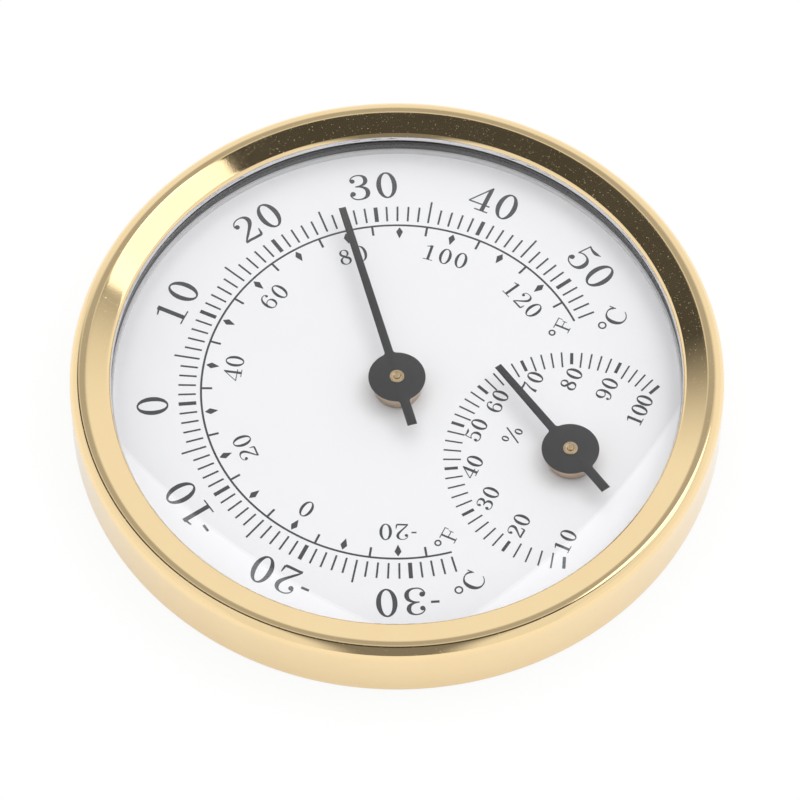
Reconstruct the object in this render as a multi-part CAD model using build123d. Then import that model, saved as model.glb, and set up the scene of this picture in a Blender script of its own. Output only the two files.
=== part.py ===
from build123d import *
import math
import os

# Dial thermometer and hygrometer lying on its back.
# Millimetres. Origin at the centre of the back face, +Z out of the dial, +Y towards 12 o'clock.

# --- driving dimensions -------------------------------------------------------------------
# case
case_radius = 30.5
case_height = 6.95          # back face to the crest of the rim
case_wall = 0.45            # pressed aluminium sheet
crest_radius = 1.2          # rounded outer corner
bevel_angle = 21.0          # slope of the bezel face down towards the window
rim_width = 3.85            # case edge to the clear opening, across the bezel's face
lip_radius = 0.6            # rounding of the lip's upper edge
lip_drop = 0.17             # straight part of the lip below its rounding
curl_radius = 0.55          # rolled lower edge
curl_reach = 1.0            # how far the rolled edge turns in under the rear cover

# lens
lens_thickness = 0.7
lens_rise = 1.8             # crown of the dome above its rim
lens_side_gap = 0.15        # radial play of the lens in the case
dome_setback = 0.05         # the dome starts this far inside the lip

# stack under the lens
gasket_thickness = 0.2
gasket_setback = 0.25       # gasket and spacer stand back from the window edge
spacer_height = 1.57
spacer_setback = 0.10
foot_height = 0.55          # inward foot of the spacer ring, resting on the dial
foot_reach = 0.25
dial_thickness = 0.4
stack_side_gap = 0.10       # radial play of dial, spacer and rear cover in the case

# rear cover
cover_floor = 1.0
cover_wall = 1.7
curl_gap = 0.05             # cover floor inside the rolled edge
vent_count = 12
vent_width = 1.5
vent_inner_radius = 9.5
vent_outer_radius = 24.5
access_gap = 0.20           # screwdriver holes under the posts clear the washers by this much

# dial bushes
bush_wall = 0.30
bush_flange_width = 0.50
bush_flange_thickness = 0.25
bush_fit_gap = 0.01

# posts (calibration spindles)
shank_radius = 0.90
running_gap = 0.05          # shank in bush
post_flange_width = 0.55    # beyond the shank
post_flange_thickness = 0.10
barrel_radius = 0.55
spindle_radius = 0.30
spindle_proud = 0.25        # spindle tip above the pointer's face
tip_round = 0.12
slot_width = 0.30           # screwdriver slot in the lower end
slot_depth = 0.35
shank_below_retainer = 0.25

# friction washer and retainer behind the dial
washer_height = 0.20
washer_sheet = 0.10
washer_width = 0.65
retainer_thickness = 0.20
retainer_width = 0.60
retainer_notch = 0.35
retainer_fit_gap = 0.01

# pointers
pointer_thickness = 0.12
disc_overhang = 0.19        # disc beyond the coil's clip
arm_width_disc = 0.85
arm_width_tip = 0.68
tail_width = 0.92
tail_reach = 5.4
collar_wall = 0.17
collar_brim = 0.18
collar_height = 0.12
collar_running_gap = 0.03

# spiral strips
coil_sheet = 0.10
coil_turns = 5
coil_radius = 2.36          # outer face of the outermost turn
coil_start_gap = 0.05       # first turn stands off the post's barrel
coil_floor_gap = 0.17       # underside above the dial
coil_top_gap = 0.15         # strip below the pointer's disc
coil_tab_depth = 0.32       # end of the strip folded into the barrel's slit
slit_gap = 0.02             # slit is wider than the strip by this much on each side
clip_sheet = 0.12
clip_half_angle = 9.0
clip_foot_reach = 0.55
coil_end_angle = 25.7       # direction of the outer end, from +X

# the two movements: place, height and rest reading of each
humidity_offset = 17.8      # humidity axis below the centre, towards 6 o'clock
temp_pointer_length = 19.6
temp_pointer_top = 2.17     # pointer's face above the dial
temp_rest_clockwise = 48.9  # pointer at rest, clockwise from 12 o'clock
humidity_pointer_length = 11.2
humidity_pointer_top = 2.00
humidity_rest_clockwise = 28.1

# --- heights and radii that follow --------------------------------------------------------
bevel = math.radians(bevel_angle)
window_radius = case_radius - rim_width
crest_r = case_radius - crest_radius
crest_z = case_height - crest_radius
bevel_top_r = crest_r - crest_radius * math.sin(bevel)
bevel_top_z = crest_z + crest_radius * math.cos(bevel)
lip_tangent_r = window_radius + lip_radius * (1 - math.sin(bevel))
lip_tangent_z = bevel_top_z - (bevel_top_r - lip_tangent_r) * math.tan(bevel)
lip_z = lip_tangent_z - lip_radius * math.cos(bevel)
lip_bottom = lip_z - lip_drop

lens_rim_top = lip_bottom
lens_rim_bottom = lens_rim_top - lens_thickness
dome_radius = window_radius - dome_setback
gasket_bottom = lens_rim_bottom - gasket_thickness
dial_top = gasket_bottom - spacer_height
dial_bottom = dial_top - dial_thickness

case_bore = case_radius - case_wall
stack_radius = case_bore - stack_side_gap
curl_inner = case_radius - curl_radius - curl_reach
shank_bore = shank_radius + running_gap
bush_radius = shank_bore + bush_wall
bush_flange_radius = bush_radius + bush_flange_width
post_flange_radius = shank_radius + post_flange_width
washer_radius = shank_bore + washer_width
retainer_radius = shank_radius + retainer_width
access_radius = washer_radius + access_gap
collar_bore = spindle_radius + collar_running_gap
collar_neck_radius = collar_bore + collar_wall
collar_radius = collar_neck_radius + collar_brim
clip_radius = coil_radius + clip_sheet
pointer_disc_radius = clip_radius + disc_overhang
movement_sites = {"temp": (0.0, 0.0), "humidity": (0.0, -humidity_offset)}


def turned(*edges):
    """Closed outline of (radius, height) edges spun round +Z."""
    return revolve(Plane.XZ * make_face(Curve() + list(edges)), Axis.Z)


def tube(inner, outer, low, high):
    """Plain ring with a rectangular section."""
    return turned(Polyline((inner, low), (outer, low), (outer, high), (inner, high), close=True))


def rod(radius, low, high):
    return Pos(0, 0, low) * Cylinder(radius, high - low, align=(Align.CENTER, Align.CENTER, Align.MIN))


def block(x_low, x_high, width, low, high):
    """Box along +X, centred on the X axis."""
    return Pos((x_low + x_high) / 2, 0, (low + high) / 2) * Box(x_high - x_low, width, high - low)


def bezel():
    """Pressed shell: rolled lower edge, straight wall, round crest, sloping face and turned-down lip."""
    normal = 90 + bevel_angle
    crest = (crest_r, crest_z)
    curl = (case_radius - curl_radius, curl_radius)
    lip = (window_radius + lip_radius, lip_z)
    curl_out = CenterArc(curl, curl_radius, -90, 90)
    crest_out = CenterArc(crest, crest_radius, 0, normal)
    lip_out = CenterArc(lip, lip_radius, normal, 90 - bevel_angle)
    crest_in = CenterArc(crest, crest_radius - case_wall, 0, normal)
    curl_in = CenterArc(curl, curl_radius - case_wall, -90, 90)
    lip_back_r = window_radius + case_wall
    under_bevel = crest_in @ 1
    lip_back_z = under_bevel.Y - (under_bevel.X - lip_back_r) * math.tan(bevel)
    return turned(
        curl_out,
        Line(curl_out @ 1, crest_out @ 0),
        crest_out,
        Line(crest_out @ 1, lip_out @ 0),
        lip_out,
        Polyline(lip_out @ 1, (window_radius, lip_bottom), (lip_back_r, lip_bottom),
                 (lip_back_r, lip_back_z), under_bevel),
        crest_in,
        Line(crest_in @ 0, curl_in @ 1),
        curl_in,
        Polyline(curl_in @ 0, (curl_inner, case_wall), (curl_inner, 0), curl_out @ 0),
    )


def crown(low):
    """Edge of the dome: height falls with the cube of the radius from centre to rim."""
    top = low + lens_rise
    return Bezier((0, top), (dome_radius / 3, top), (2 * dome_radius / 3, top), (dome_radius, low))


def lens():
    under = crown(lens_rim_bottom)
    over = crown(lens_rim_top)
    rim = case_bore - lens_side_gap
    return turned(
        under,
        Polyline(under @ 1, (rim, lens_rim_bottom), (rim, lens_rim_top), over @ 1),
        over,
        Line(over @ 0, under @ 0),
    )


def lens_gasket():
    return tube(window_radius + gasket_setback, stack_radius, gasket_bottom, lens_rim_bottom)


def spacer_ring():
    inner = window_radius + spacer_setback
    foot_inner = inner - foot_reach
    return turned(Polyline(
        (foot_inner, dial_top), (stack_radius, dial_top), (stack_radius, gasket_bottom),
        (inner, gasket_bottom), (inner, dial_top + foot_height), (foot_inner, dial_top + foot_height),
        close=True))


def dial_plate():
    plate = rod(stack_radius, dial_bottom, dial_top)
    for x, y in movement_sites.values():
        plate -= Pos(x, y) * rod(bush_radius + bush_fit_gap, dial_bottom, dial_top)
    return plate


def rear_cover():
    """Plastic tray that closes the case: vented floor, and a wall that carries the dial."""
    floor_radius = curl_inner - curl_gap
    cover = rod(floor_radius, 0, case_wall) + rod(stack_radius, case_wall, dial_bottom)
    cover -= rod(stack_radius - cover_wall, cover_floor, dial_bottom)
    for number in range(vent_count):
        slot = SlotCenterToCenter(vent_outer_radius - vent_inner_radius - vent_width, vent_width)
        middle = (vent_outer_radius + vent_inner_radius) / 2
        turn = (number + 0.5) * 360 / vent_count
        cover -= Rot(0, 0, turn) * Pos(middle, 0, 0) * extrude(slot, cover_floor)
    for x, y in movement_sites.values():
        cover -= Pos(x, y) * rod(access_radius, 0, cover_floor)
    return cover


def bush():
    low = dial_bottom - bush_flange_thickness
    body = rod(bush_radius, dial_bottom, dial_top) + rod(bush_flange_radius, low, dial_bottom)
    return body - rod(shank_bore, low, dial_top)


def coil_inner_radius():
    return barrel_radius + coil_start_gap + coil_sheet / 2


def coil_start_angle():
    return coil_end_angle - 360 * coil_turns


def post(pointer_top):
    """Brass spindle with a slotted lower end, a flange on the dial and a slit barrel for the strip."""
    shoulder = dial_top + pointer_top - pointer_thickness
    flange_top = dial_top + post_flange_thickness
    washer_top = dial_bottom - bush_flange_thickness
    low = washer_top - washer_height - retainer_thickness - shank_below_retainer
    tip = dial_top + pointer_top + spindle_proud
    body = rod(shank_radius, low, dial_top) + rod(post_flange_radius, dial_top, flange_top)
    body += rod(barrel_radius, flange_top, shoulder)
    spindle_tip = CenterArc((spindle_radius - tip_round, tip - tip_round), tip_round, 0, 90)
    body += turned(Line((0, shoulder), (spindle_radius, shoulder)),
                   Line((spindle_radius, shoulder), spindle_tip @ 0), spindle_tip,
                   Line(spindle_tip @ 1, (0, tip)), Line((0, tip), (0, shoulder)))
    body -= Pos(0, 0, low + slot_depth / 2) * Box(3 * shank_radius, slot_width, slot_depth)
    slit_start = barrel_radius - coil_tab_depth - slit_gap
    slit = block(slit_start, 2 * barrel_radius, coil_sheet + 2 * slit_gap, flange_top, shoulder)
    return body - Rot(0, 0, coil_start_angle()) * slit


def friction_washer():
    """Shallow cone spring between the bush and the retainer."""
    high = dial_bottom - bush_flange_thickness
    low = high - washer_height
    return turned(Polyline((shank_bore, low), (washer_radius, high - washer_sheet), (washer_radius, high),
                           (shank_bore, low + washer_sheet), close=True))


def retainer():
    """Push-on clip with notches between its teeth."""
    high = dial_bottom - bush_flange_thickness - washer_height
    low = high - retainer_thickness
    clip = tube(shank_radius + retainer_fit_gap, retainer_radius, low, high)
    notch_end = (shank_radius + retainer_radius) / 2
    for turn in (30, 150, 270):
        clip -= Rot(0, 0, turn) * block(0, notch_end, retainer_notch, low, high)
    return clip


def coil(pointer_top):
    """Flat strip on edge, wound as a spiral whose radius grows evenly with the angle."""
    low = dial_top + coil_floor_gap
    high = dial_top + pointer_top - pointer_thickness - coil_top_gap
    inner = coil_inner_radius()
    outer = coil_radius - coil_sheet / 2
    steps = 16 * coil_turns

    def side(offset):
        points = []
        for step in range(steps + 1):
            share = step / steps
            angle = math.radians(coil_start_angle() + 360 * coil_turns * share)
            radius = inner + (outer - inner) * share + offset
            points.append((radius * math.cos(angle), radius * math.sin(angle)))
        return Spline(*points)

    near, far = side(-coil_sheet / 2), side(coil_sheet / 2)
    band = make_face(Curve() + [near, far, Line(near @ 0, far @ 0), Line(near @ 1, far @ 1)])
    tab = block(barrel_radius - coil_tab_depth, inner, coil_sheet, low, high)
    return extrude(Pos(0, 0, low) * band, high - low, dir=(0, 0, 1)) + Rot(0, 0, coil_start_angle()) * tab


def clip_sector(inner, outer, low, high):
    wedge = make_face(Polyline((0, 0), (2 * outer, -2 * outer * math.tan(math.radians(clip_half_angle))),
                               (2 * outer, 2 * outer * math.tan(math.radians(clip_half_angle))), close=True))
    return tube(inner, outer, low, high) & extrude(Pos(0, 0, low) * wedge, high - low, dir=(0, 0, 1))


def coil_clip(pointer_top):
    """Folded tab that joins the strip's outer end to the underside of the disc."""
    high = dial_top + pointer_top - pointer_thickness
    strip_low = dial_top + coil_floor_gap
    leg = clip_sector(coil_radius, clip_radius, (strip_low + high) / 2, high)
    foot = clip_sector(clip_radius - clip_foot_reach, clip_radius, high - clip_sheet, high)
    return Rot(0, 0, coil_end_angle) * (leg + foot)


def pointer(length, pointer_top, clockwise):
    """Sheet pointer: tapered arm, round disc and square tail."""
    arm = make_face(Polyline((0, -arm_width_disc / 2), (length, -arm_width_tip / 2),
                             (length, arm_width_tip / 2), (0, arm_width_disc / 2), close=True))
    tail = make_face(Polyline((0, -tail_width / 2), (-tail_reach, -tail_width / 2),
                              (-tail_reach, tail_width / 2), (0, tail_width / 2), close=True))
    outline = arm + tail + Circle(pointer_disc_radius) - Circle(collar_neck_radius + bush_fit_gap)
    low = dial_top + pointer_top - pointer_thickness
    return Rot(0, 0, 90 - clockwise) * extrude(Pos(0, 0, low) * outline, pointer_thickness, dir=(0, 0, 1))


def collar(pointer_top):
    """Brass collar staked in the disc; it turns on the spindle and rests on the barrel's shoulder."""
    face = dial_top + pointer_top
    low = face - pointer_thickness
    body = rod(collar_neck_radius, low, face) + rod(collar_radius, face, face + collar_height)
    return body - rod(collar_bore, low, face + collar_height)


def movement(name, length, pointer_top, clockwise):
    """All the pieces of one movement, at its place on the dial."""
    place = Pos(*movement_sites[name])
    return {
        f"{name}_bush": place * bush(),
        f"{name}_post": place * post(pointer_top),
        f"{name}_friction_washer": place * friction_washer(),
        f"{name}_retainer": place * retainer(),
        f"{name}_coil": place * coil(pointer_top),
        f"{name}_coil_clip": place * coil_clip(pointer_top),
        f"{name}_pointer": place * pointer(length, pointer_top, clockwise),
        f"{name}_collar": place * collar(pointer_top),
    }


nodes = {
    "bezel": bezel(),
    "lens": lens(),
    "lens_gasket": lens_gasket(),
    "spacer_ring": spacer_ring(),
    "dial_plate": dial_plate(),
    "rear_cover": rear_cover(),
}
nodes.update(movement("temp", temp_pointer_length, temp_pointer_top, temp_rest_clockwise))
nodes.update(movement("humidity", humidity_pointer_length, humidity_pointer_top, humidity_rest_clockwise))

os.makedirs("parts", exist_ok=True)
for node, solid in nodes.items():
    export_step(solid, f"parts/{node}.step")
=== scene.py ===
"""Looks of a dial thermometer and hygrometer that lies on its back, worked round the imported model."""

import math

import bpy
import numpy as np
from mathutils import Matrix, Vector


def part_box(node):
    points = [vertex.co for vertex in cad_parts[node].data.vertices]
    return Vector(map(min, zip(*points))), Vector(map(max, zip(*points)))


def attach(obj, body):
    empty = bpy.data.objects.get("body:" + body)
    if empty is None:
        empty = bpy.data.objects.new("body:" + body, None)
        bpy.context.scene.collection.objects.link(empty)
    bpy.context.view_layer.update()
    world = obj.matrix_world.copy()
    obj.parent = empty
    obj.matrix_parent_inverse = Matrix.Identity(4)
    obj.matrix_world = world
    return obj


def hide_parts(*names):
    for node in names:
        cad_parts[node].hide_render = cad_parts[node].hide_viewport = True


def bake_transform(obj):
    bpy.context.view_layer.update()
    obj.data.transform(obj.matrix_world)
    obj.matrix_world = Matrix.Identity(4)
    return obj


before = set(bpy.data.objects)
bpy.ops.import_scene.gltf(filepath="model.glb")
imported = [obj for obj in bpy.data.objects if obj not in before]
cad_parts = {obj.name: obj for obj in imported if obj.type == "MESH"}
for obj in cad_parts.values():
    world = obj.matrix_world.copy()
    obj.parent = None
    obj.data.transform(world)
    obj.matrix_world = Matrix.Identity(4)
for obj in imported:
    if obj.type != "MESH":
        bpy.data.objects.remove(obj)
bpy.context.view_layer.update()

MM = 0.001
TAU = 2 * math.pi


def box_mm(node):
    low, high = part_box(node)
    return np.array(low) / MM, np.array(high) / MM


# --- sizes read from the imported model, in millimetres -------------------------------------
CASE_RADIUS = box_mm("bezel")[1][0]
CREST_TOP = box_mm("bezel")[1][2]
DIAL_TOP = box_mm("dial_plate")[1][2]
STACK_RADIUS = box_mm("dial_plate")[1][0]
LENS_RADIUS = box_mm("lens")[1][0]
LENS_UNDER = box_mm("lens")[0][2]
GASKET_UNDER = box_mm("lens_gasket")[0][2]
HUMIDITY_Y = (box_mm("humidity_collar")[0][1] + box_mm("humidity_collar")[1][1]) / 2

# --- the case's section --------------------------------------------------------------------
SHEET = 0.45                      # pressed aluminium
CREST_ROUND = 1.20                # outer corner of the rim
BEVEL = math.radians(21.0)        # slope of the bezel's face
RIM_WIDTH = 3.85
WINDOW_RADIUS = CASE_RADIUS - RIM_WIDTH
LIP_ROUND = 0.60
LIP_DROP = 0.17                   # straight part of the lip
BARE_LIP = (0.05, 0.09)           # bare metal fades into gold this far outside the window
CURL_ROUND = 0.55                 # rolled lower edge
CURL_REACH = 1.0
CURL_CHAMFER = 0.12
LENS_THICK = 0.7
LENS_RISE = 1.8
DOME_SETBACK = 0.05               # the dome starts this far inside the lip
SPACER_SETBACK = 0.10
FOOT_REACH = 0.25                 # the spacer's foot on the dial
FOOT_HEIGHT = 0.55
MOULDED_EDGE = 0.06

# --- the movements -------------------------------------------------------------------------
COIL_SHEET = 0.10
COIL_TURNS = 5
COIL_RADIUS = 2.36                # outer face of the last turn
COIL_FIRST = 0.65                 # middle of the strip where it starts
COIL_END = math.radians(25.7)     # direction of the outer end, from +X
COIL_EDGE = 0.02                  # the strip's edges are eased over this height
DISC_RADIUS = 2.67
HOLE_RADIUS = 0.51                # hole in the disc, round the collar's neck
HAND_EDGE = 0.028                 # rounding of the stamped edge
REST = {"temp": 48.9, "humidity": 28.1}       # clockwise from 12 o'clock, degrees
LENGTH = {"temp": 19.6, "humidity": 11.2}

# --- the printed scales --------------------------------------------------------------------
DEGREE = math.radians(2.964)      # turn of the pointer for one degree Celsius
TWELVE_CELSIUS = 10               # reading at 12 o'clock
SCALE_TURN = math.radians(-0.78)  # the print is set slightly anticlockwise on the plate
CELSIUS_ENDS = (-34, 54)
ARC_RADIUS = 18.31
ARC_WIDTH = 0.195
ARC_OVERRUN = 0.008               # the arc runs past its last ticks, radians
ARC_POINTS = 240
CELSIUS_TICK = (18.79, 20.43)     # inner and outer radius
CELSIUS_FIVE = 21.20              # outer radius at the odd fives
CELSIUS_WIDTH, CELSIUS_TEN_WIDTH = 0.182, 0.38
CELSIUS_NUMBER = (22.87, 2.88, 2.64)          # radius, height and pitch of the figures
CELSIUS_SHIFTS = {-30: 0.46, -20: 0.62}       # along the arc, to make room for the sign
FAHRENHEIT_DIAMOND = (16.84, 18.06, 0.64)     # inner and outer radius, width
FAHRENHEIT_TICK = (17.27, 18.28, 0.21)
FAHRENHEIT_NUMBER = (15.47, 1.70, 1.55)
UNIT_SIGNS = (                    # x, y, letter, its height, then the small ring's offset and diameter
    (12.50, -11.82, "F", 1.53, -0.58, 1.37, 0.68), (15.29, -16.09, "C", 2.00, -0.58, 1.73, 0.82),
    (-12.79, -12.00, "F", 1.53, -0.58, 1.38, 0.68), (-16.44, -16.28, "C", 2.00, -0.58, 1.80, 0.82),
)
UNIT_RING_WIDTH, UNIT_RING_POINTS = 0.15, 28

# angles of the humidity scale's tens, clockwise from 12 o'clock: its steps are uneven
HUMIDITY_ANGLES = {10: -112.0, 20: -82.7, 30: -56.6, 40: -30.6, 50: -5.4,
                   60: 17.9, 70: 42.3, 80: 66.1, 90: 89.2, 100: 110.7}
HUMIDITY_TICK = (10.11, 11.75, 0.158)
HUMIDITY_TEN = (10.43, 11.67, 0.30)
HUMIDITY_HEIGHT, HUMIDITY_PITCH, HUNDRED_PITCH = 1.50, 1.35, 1.14
NUMBER_TOP, NUMBER_SIDE = 9.24, 8.47          # reach of a number's middle, above and beside the axis
NUMBER_NUDGES = {20: (0.19, 0.0), 30: (0.36, -0.20), 100: (0.62, -0.26)}   # along the arc, outwards
PERCENT_HEIGHT, PERCENT_HALF, PERCENT_PLACE = 1.68, (0.95, 0.84), (0.09, 5.90)

THICK, THIN = 0.160, 0.055        # strokes of a numeral, as shares of its height
SMALL_PRINT_GAIN = 1.2            # ink spreads more on the smallest figures
HALF_DIGIT = 0.34                 # half a digit's width, as a share of its height
MINUS_GAP, MINUS_WIDTH = 0.145, 0.27
INK_HEIGHT = 0.012
INK_STEP, INK_LEVELS = 0.0006, 7  # crossing strokes stand at slightly different heights
INK_SUNK = 0.004                  # foot of a stroke below the dial's face

# --- camera and light ----------------------------------------------------------------------
AZIMUTH, ELEVATION = math.radians(-64.3), math.radians(58.3)
CAMERA_DISTANCE = 0.524           # metres
TARGET_HEIGHT, TARGET_RIGHT, TARGET_DOWN = 3.3, 0.285, 1.08
LENS_EDGE = math.radians(11.5)    # slope of the dome at its rim
RING = math.radians(3.6)          # half the dark gap that the bevel mirrors, as surface tilt
RING_CORE = 0.7                   # share of that half gap which is fully dark
ROOM_LEAST = 0.090                # light from the darkest part of the room
PANE_REACH = 0.375                # how far off the mirror direction the lens panes stand
FLOOR_REACH, FLOOR_DROP = 1500.0, 0.02


# --- mesh makers --------------------------------------------------------------------------
def put_mesh(name, points, faces, material, smooth=True):
    """A mesh object at the origin from points in millimetres and a list of face arrays, each of them
    (count, corners)."""
    corners = np.concatenate([f.ravel() for f in faces]).astype(np.int32)
    totals = np.concatenate([np.full(len(f), f.shape[1], np.int32) for f in faces])
    starts = np.concatenate([[0], np.cumsum(totals)[:-1]]).astype(np.int32)
    mesh = bpy.data.meshes.new(name)
    mesh.vertices.add(len(points))
    mesh.vertices.foreach_set("co", (np.asarray(points, float) * MM).astype(np.float32).ravel())
    mesh.loops.add(len(corners))
    mesh.loops.foreach_set("vertex_index", corners)
    mesh.polygons.add(len(totals))
    mesh.polygons.foreach_set("loop_start", starts)
    mesh.polygons.foreach_set("loop_total", totals)
    mesh.polygons.foreach_set("use_smooth", np.full(len(totals), smooth))
    mesh.update(calc_edges=True)
    mesh.validate()
    piece = bpy.data.objects.new(name, mesh)
    bpy.context.scene.collection.objects.link(piece)
    if material:
        mesh.materials.append(material)
    return piece


def grid_faces(rows, columns, wrap_rows=False, wrap_columns=False, first=0):
    """Quads between neighbours of a rows x columns grid of points, closed round either way if asked."""
    r = np.arange(rows if wrap_rows else rows - 1)
    c = np.arange(columns if wrap_columns else columns - 1)
    r, c = np.meshgrid(r, c, indexing="ij")
    r2, c2 = (r + 1) % rows, (c + 1) % columns
    quads = np.stack([r * columns + c, r * columns + c2, r2 * columns + c2, r2 * columns + c], axis=-1)
    return quads.reshape(-1, 4) + first


def keep_crease(piece, degrees=35.0):
    """Edges sharper than the angle stay crisp in shading."""
    piece.data.set_sharp_from_angle(angle=math.radians(degrees))
    return piece


def swept(profile, turn):
    """Point (r cos a, r sin a, h) for every outline point (r, h) and every angle a."""
    radius, height = profile[:, :1], profile[:, 1:]
    x, y = radius * np.cos(turn), radius * np.sin(turn)
    return np.stack([x, y, np.repeat(height, len(turn), axis=1)], -1).reshape(-1, 3)


def lathe(name, profile, material, steps=256, centre=(0.0, 0.0), crease=35.0):
    """A closed (radius, height) outline turned round +Z, with a fan where it meets the axis."""
    profile = np.asarray(profile, float)
    on_axis = profile[:, 0] < 1e-9
    turn = np.arange(steps) * TAU / steps
    if on_axis.any():
        first = np.flatnonzero(on_axis & ~np.roll(on_axis, -1))[0]
        profile = np.roll(profile, -first, axis=0)
        end = np.flatnonzero(profile[:, 0] < 1e-9)[1]
        body = profile[1:end]
        points = swept(body, turn)
        count = len(points)
        poles = np.array([[0, 0, profile[0, 1]], [0, 0, profile[end, 1]]])
        points = np.vstack([points, poles])
        ring = np.arange(steps)
        start_fan = np.stack([np.full(steps, count), (ring + 1) % steps, ring], -1)
        last = (len(body) - 1) * steps
        end_fan = np.stack([np.full(steps, count + 1), last + ring, last + (ring + 1) % steps], -1)
        faces = [grid_faces(len(body), steps, wrap_columns=True), start_fan, end_fan]
    else:
        points = swept(profile, turn)
        faces = [grid_faces(len(profile), steps, wrap_rows=True, wrap_columns=True)]
    points[:, :2] += np.asarray(centre)
    after = np.roll(profile, -1, axis=0)
    area = np.sum(profile[:, 0] * after[:, 1] - after[:, 0] * profile[:, 1])
    if area < 0:
        faces = [f[:, ::-1] for f in faces]
    piece = put_mesh(name, points, faces, material)
    return keep_crease(piece, crease)


def arc(centre, radius, start, end, count):
    """Points on a circle from one angle to another, in degrees."""
    a = np.radians(np.linspace(start, end, count))
    return np.stack([centre[0] + radius * np.cos(a), centre[1] + radius * np.sin(a)], -1)


def line(start, end, count=2):
    """Evenly spaced points from start to end."""
    t = np.linspace(0, 1, count)[:, None]
    return np.asarray(start, float) * (1 - t) + np.asarray(end, float) * t


def outline(*parts):
    """Joined runs of points without the repeats where they meet."""
    points = np.vstack([np.atleast_2d(p) for p in parts])
    step = np.linalg.norm(points - np.roll(points, 1, axis=0), axis=1)
    return points[step > 1e-6]


# --- materials ----------------------------------------------------------------------------
RANGE_KEYS = ("From Min", "From Max", "To Min", "To Max")


class Nodes:
    """A material's node tree with short calls for the nodes used here."""

    def __init__(self, name):
        self.material = bpy.data.materials.new(name)
        self.material.use_nodes = True
        self.tree = self.material.node_tree
        self.tree.nodes.clear()
        self.output = self.tree.nodes.new("ShaderNodeOutputMaterial")
        self.coordinates = self.tree.nodes.new("ShaderNodeTexCoord")

    def add(self, kind, **values):
        node = self.tree.nodes.new(kind)
        for key, value in values.items():
            setattr(node, key, value)
        return node

    def link(self, source, target):
        self.tree.links.new(source, target)

    def place(self, vector=None, scale=(1, 1, 1), location=(0, 0, 0)):
        node = self.add("ShaderNodeMapping")
        node.inputs["Scale"].default_value = scale
        node.inputs["Location"].default_value = location
        self.link(vector or self.coordinates.outputs["Object"], node.inputs["Vector"])
        return node.outputs["Vector"]

    def noise(self, scale, detail=3.0, rough=0.55, vector=None, stretch=(1, 1, 1)):
        node = self.add("ShaderNodeTexNoise")
        node.inputs["Scale"].default_value = scale
        node.inputs["Detail"].default_value = detail
        node.inputs["Roughness"].default_value = rough
        self.link(self.place(vector, stretch), node.inputs["Vector"])
        return node.outputs["Fac"]

    def math(self, operation, a, b=0.0, c=0.0):
        node = self.add("ShaderNodeMath", operation=operation)
        for socket, value in zip(node.inputs, (a, b, c)):
            if isinstance(value, (int, float)):
                socket.default_value = value
            else:
                self.link(value, socket)
        return node.outputs["Value"]

    def ease(self, value, low, high, to_low=0.0, to_high=1.0):
        node = self.add("ShaderNodeMapRange", interpolation_type="SMOOTHSTEP")
        self.link(value, node.inputs["Value"])
        for key, number in zip(RANGE_KEYS, (low, high, to_low, to_high)):
            node.inputs[key].default_value = number
        return node.outputs["Result"]

    def mix(self, share, first, second):
        node = self.add("ShaderNodeMix", data_type="RGBA")
        self.link(share, node.inputs["Factor"])
        for index, value in ((6, first), (7, second)):
            if isinstance(value, tuple):
                node.inputs[index].default_value = (*value, 1.0)
            else:
                self.link(value, node.inputs[index])
        return node.outputs[2]

    def split(self):
        node = self.add("ShaderNodeSeparateXYZ")
        self.link(self.coordinates.outputs["Object"], node.inputs[0])
        return node.outputs

    def radius(self, centre=(0.0, 0.0)):
        """Distance from a vertical axis, in metres."""
        x, y, _ = self.split()
        dx = self.math("SUBTRACT", x, centre[0] * MM)
        dy = self.math("SUBTRACT", y, centre[1] * MM)
        squares = self.math("ADD", self.math("MULTIPLY", dx, dx), self.math("MULTIPLY", dy, dy))
        return self.math("SQRT", squares)

    def bump(self, height, strength, distance, normal=None):
        node = self.add("ShaderNodeBump")
        node.inputs["Strength"].default_value = strength
        node.inputs["Distance"].default_value = distance
        self.link(height, node.inputs["Height"])
        if normal is not None:
            self.link(normal, node.inputs["Normal"])
        return node.outputs["Normal"]

    def surface(self, colour, roughness, normal=None, **values):
        node = self.add("ShaderNodeBsdfPrincipled")
        for key, value in values.items():
            node.inputs[key.replace("_", " ").title().replace("Ior", "IOR")].default_value = value
        for socket, value in (("Base Color", colour), ("Roughness", roughness), ("Normal", normal)):
            if value is None:
                continue
            if isinstance(value, tuple):
                node.inputs[socket].default_value = (*value, 1.0)
            elif isinstance(value, (int, float)):
                node.inputs[socket].default_value = value
            else:
                self.link(value, node.inputs[socket])
        self.link(node.outputs["BSDF"], self.output.inputs["Surface"])
        return node


def gold_anodised():
    """Clear gold on polished aluminium: faint cloudiness, fine grain, a few specks, and bare metal on
    the cut lip."""
    m = Nodes("gold_anodised")
    cloud = m.noise(260, 3)
    grain = m.noise(8000, 2)
    tint = m.mix(cloud, (0.905, 0.690, 0.375), (0.935, 0.725, 0.415))
    bare, gold = ((WINDOW_RADIUS + reach) * MM for reach in BARE_LIP)
    lip = m.ease(m.radius(), bare, gold, 1.0, 0.0)
    colour = m.mix(lip, tint, (0.80, 0.80, 0.81))
    rough = m.ease(cloud, 0.3, 0.7, 0.050, 0.075)
    specks = m.ease(m.noise(6500, 1), 0.70, 0.78)
    normal = m.bump(specks, 0.50, 0.000008, m.bump(grain, 0.20, 0.000004))
    m.surface(colour, rough, normal, metallic=1.0, coat_weight=0.5, coat_roughness=0.04)
    return m.material


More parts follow.
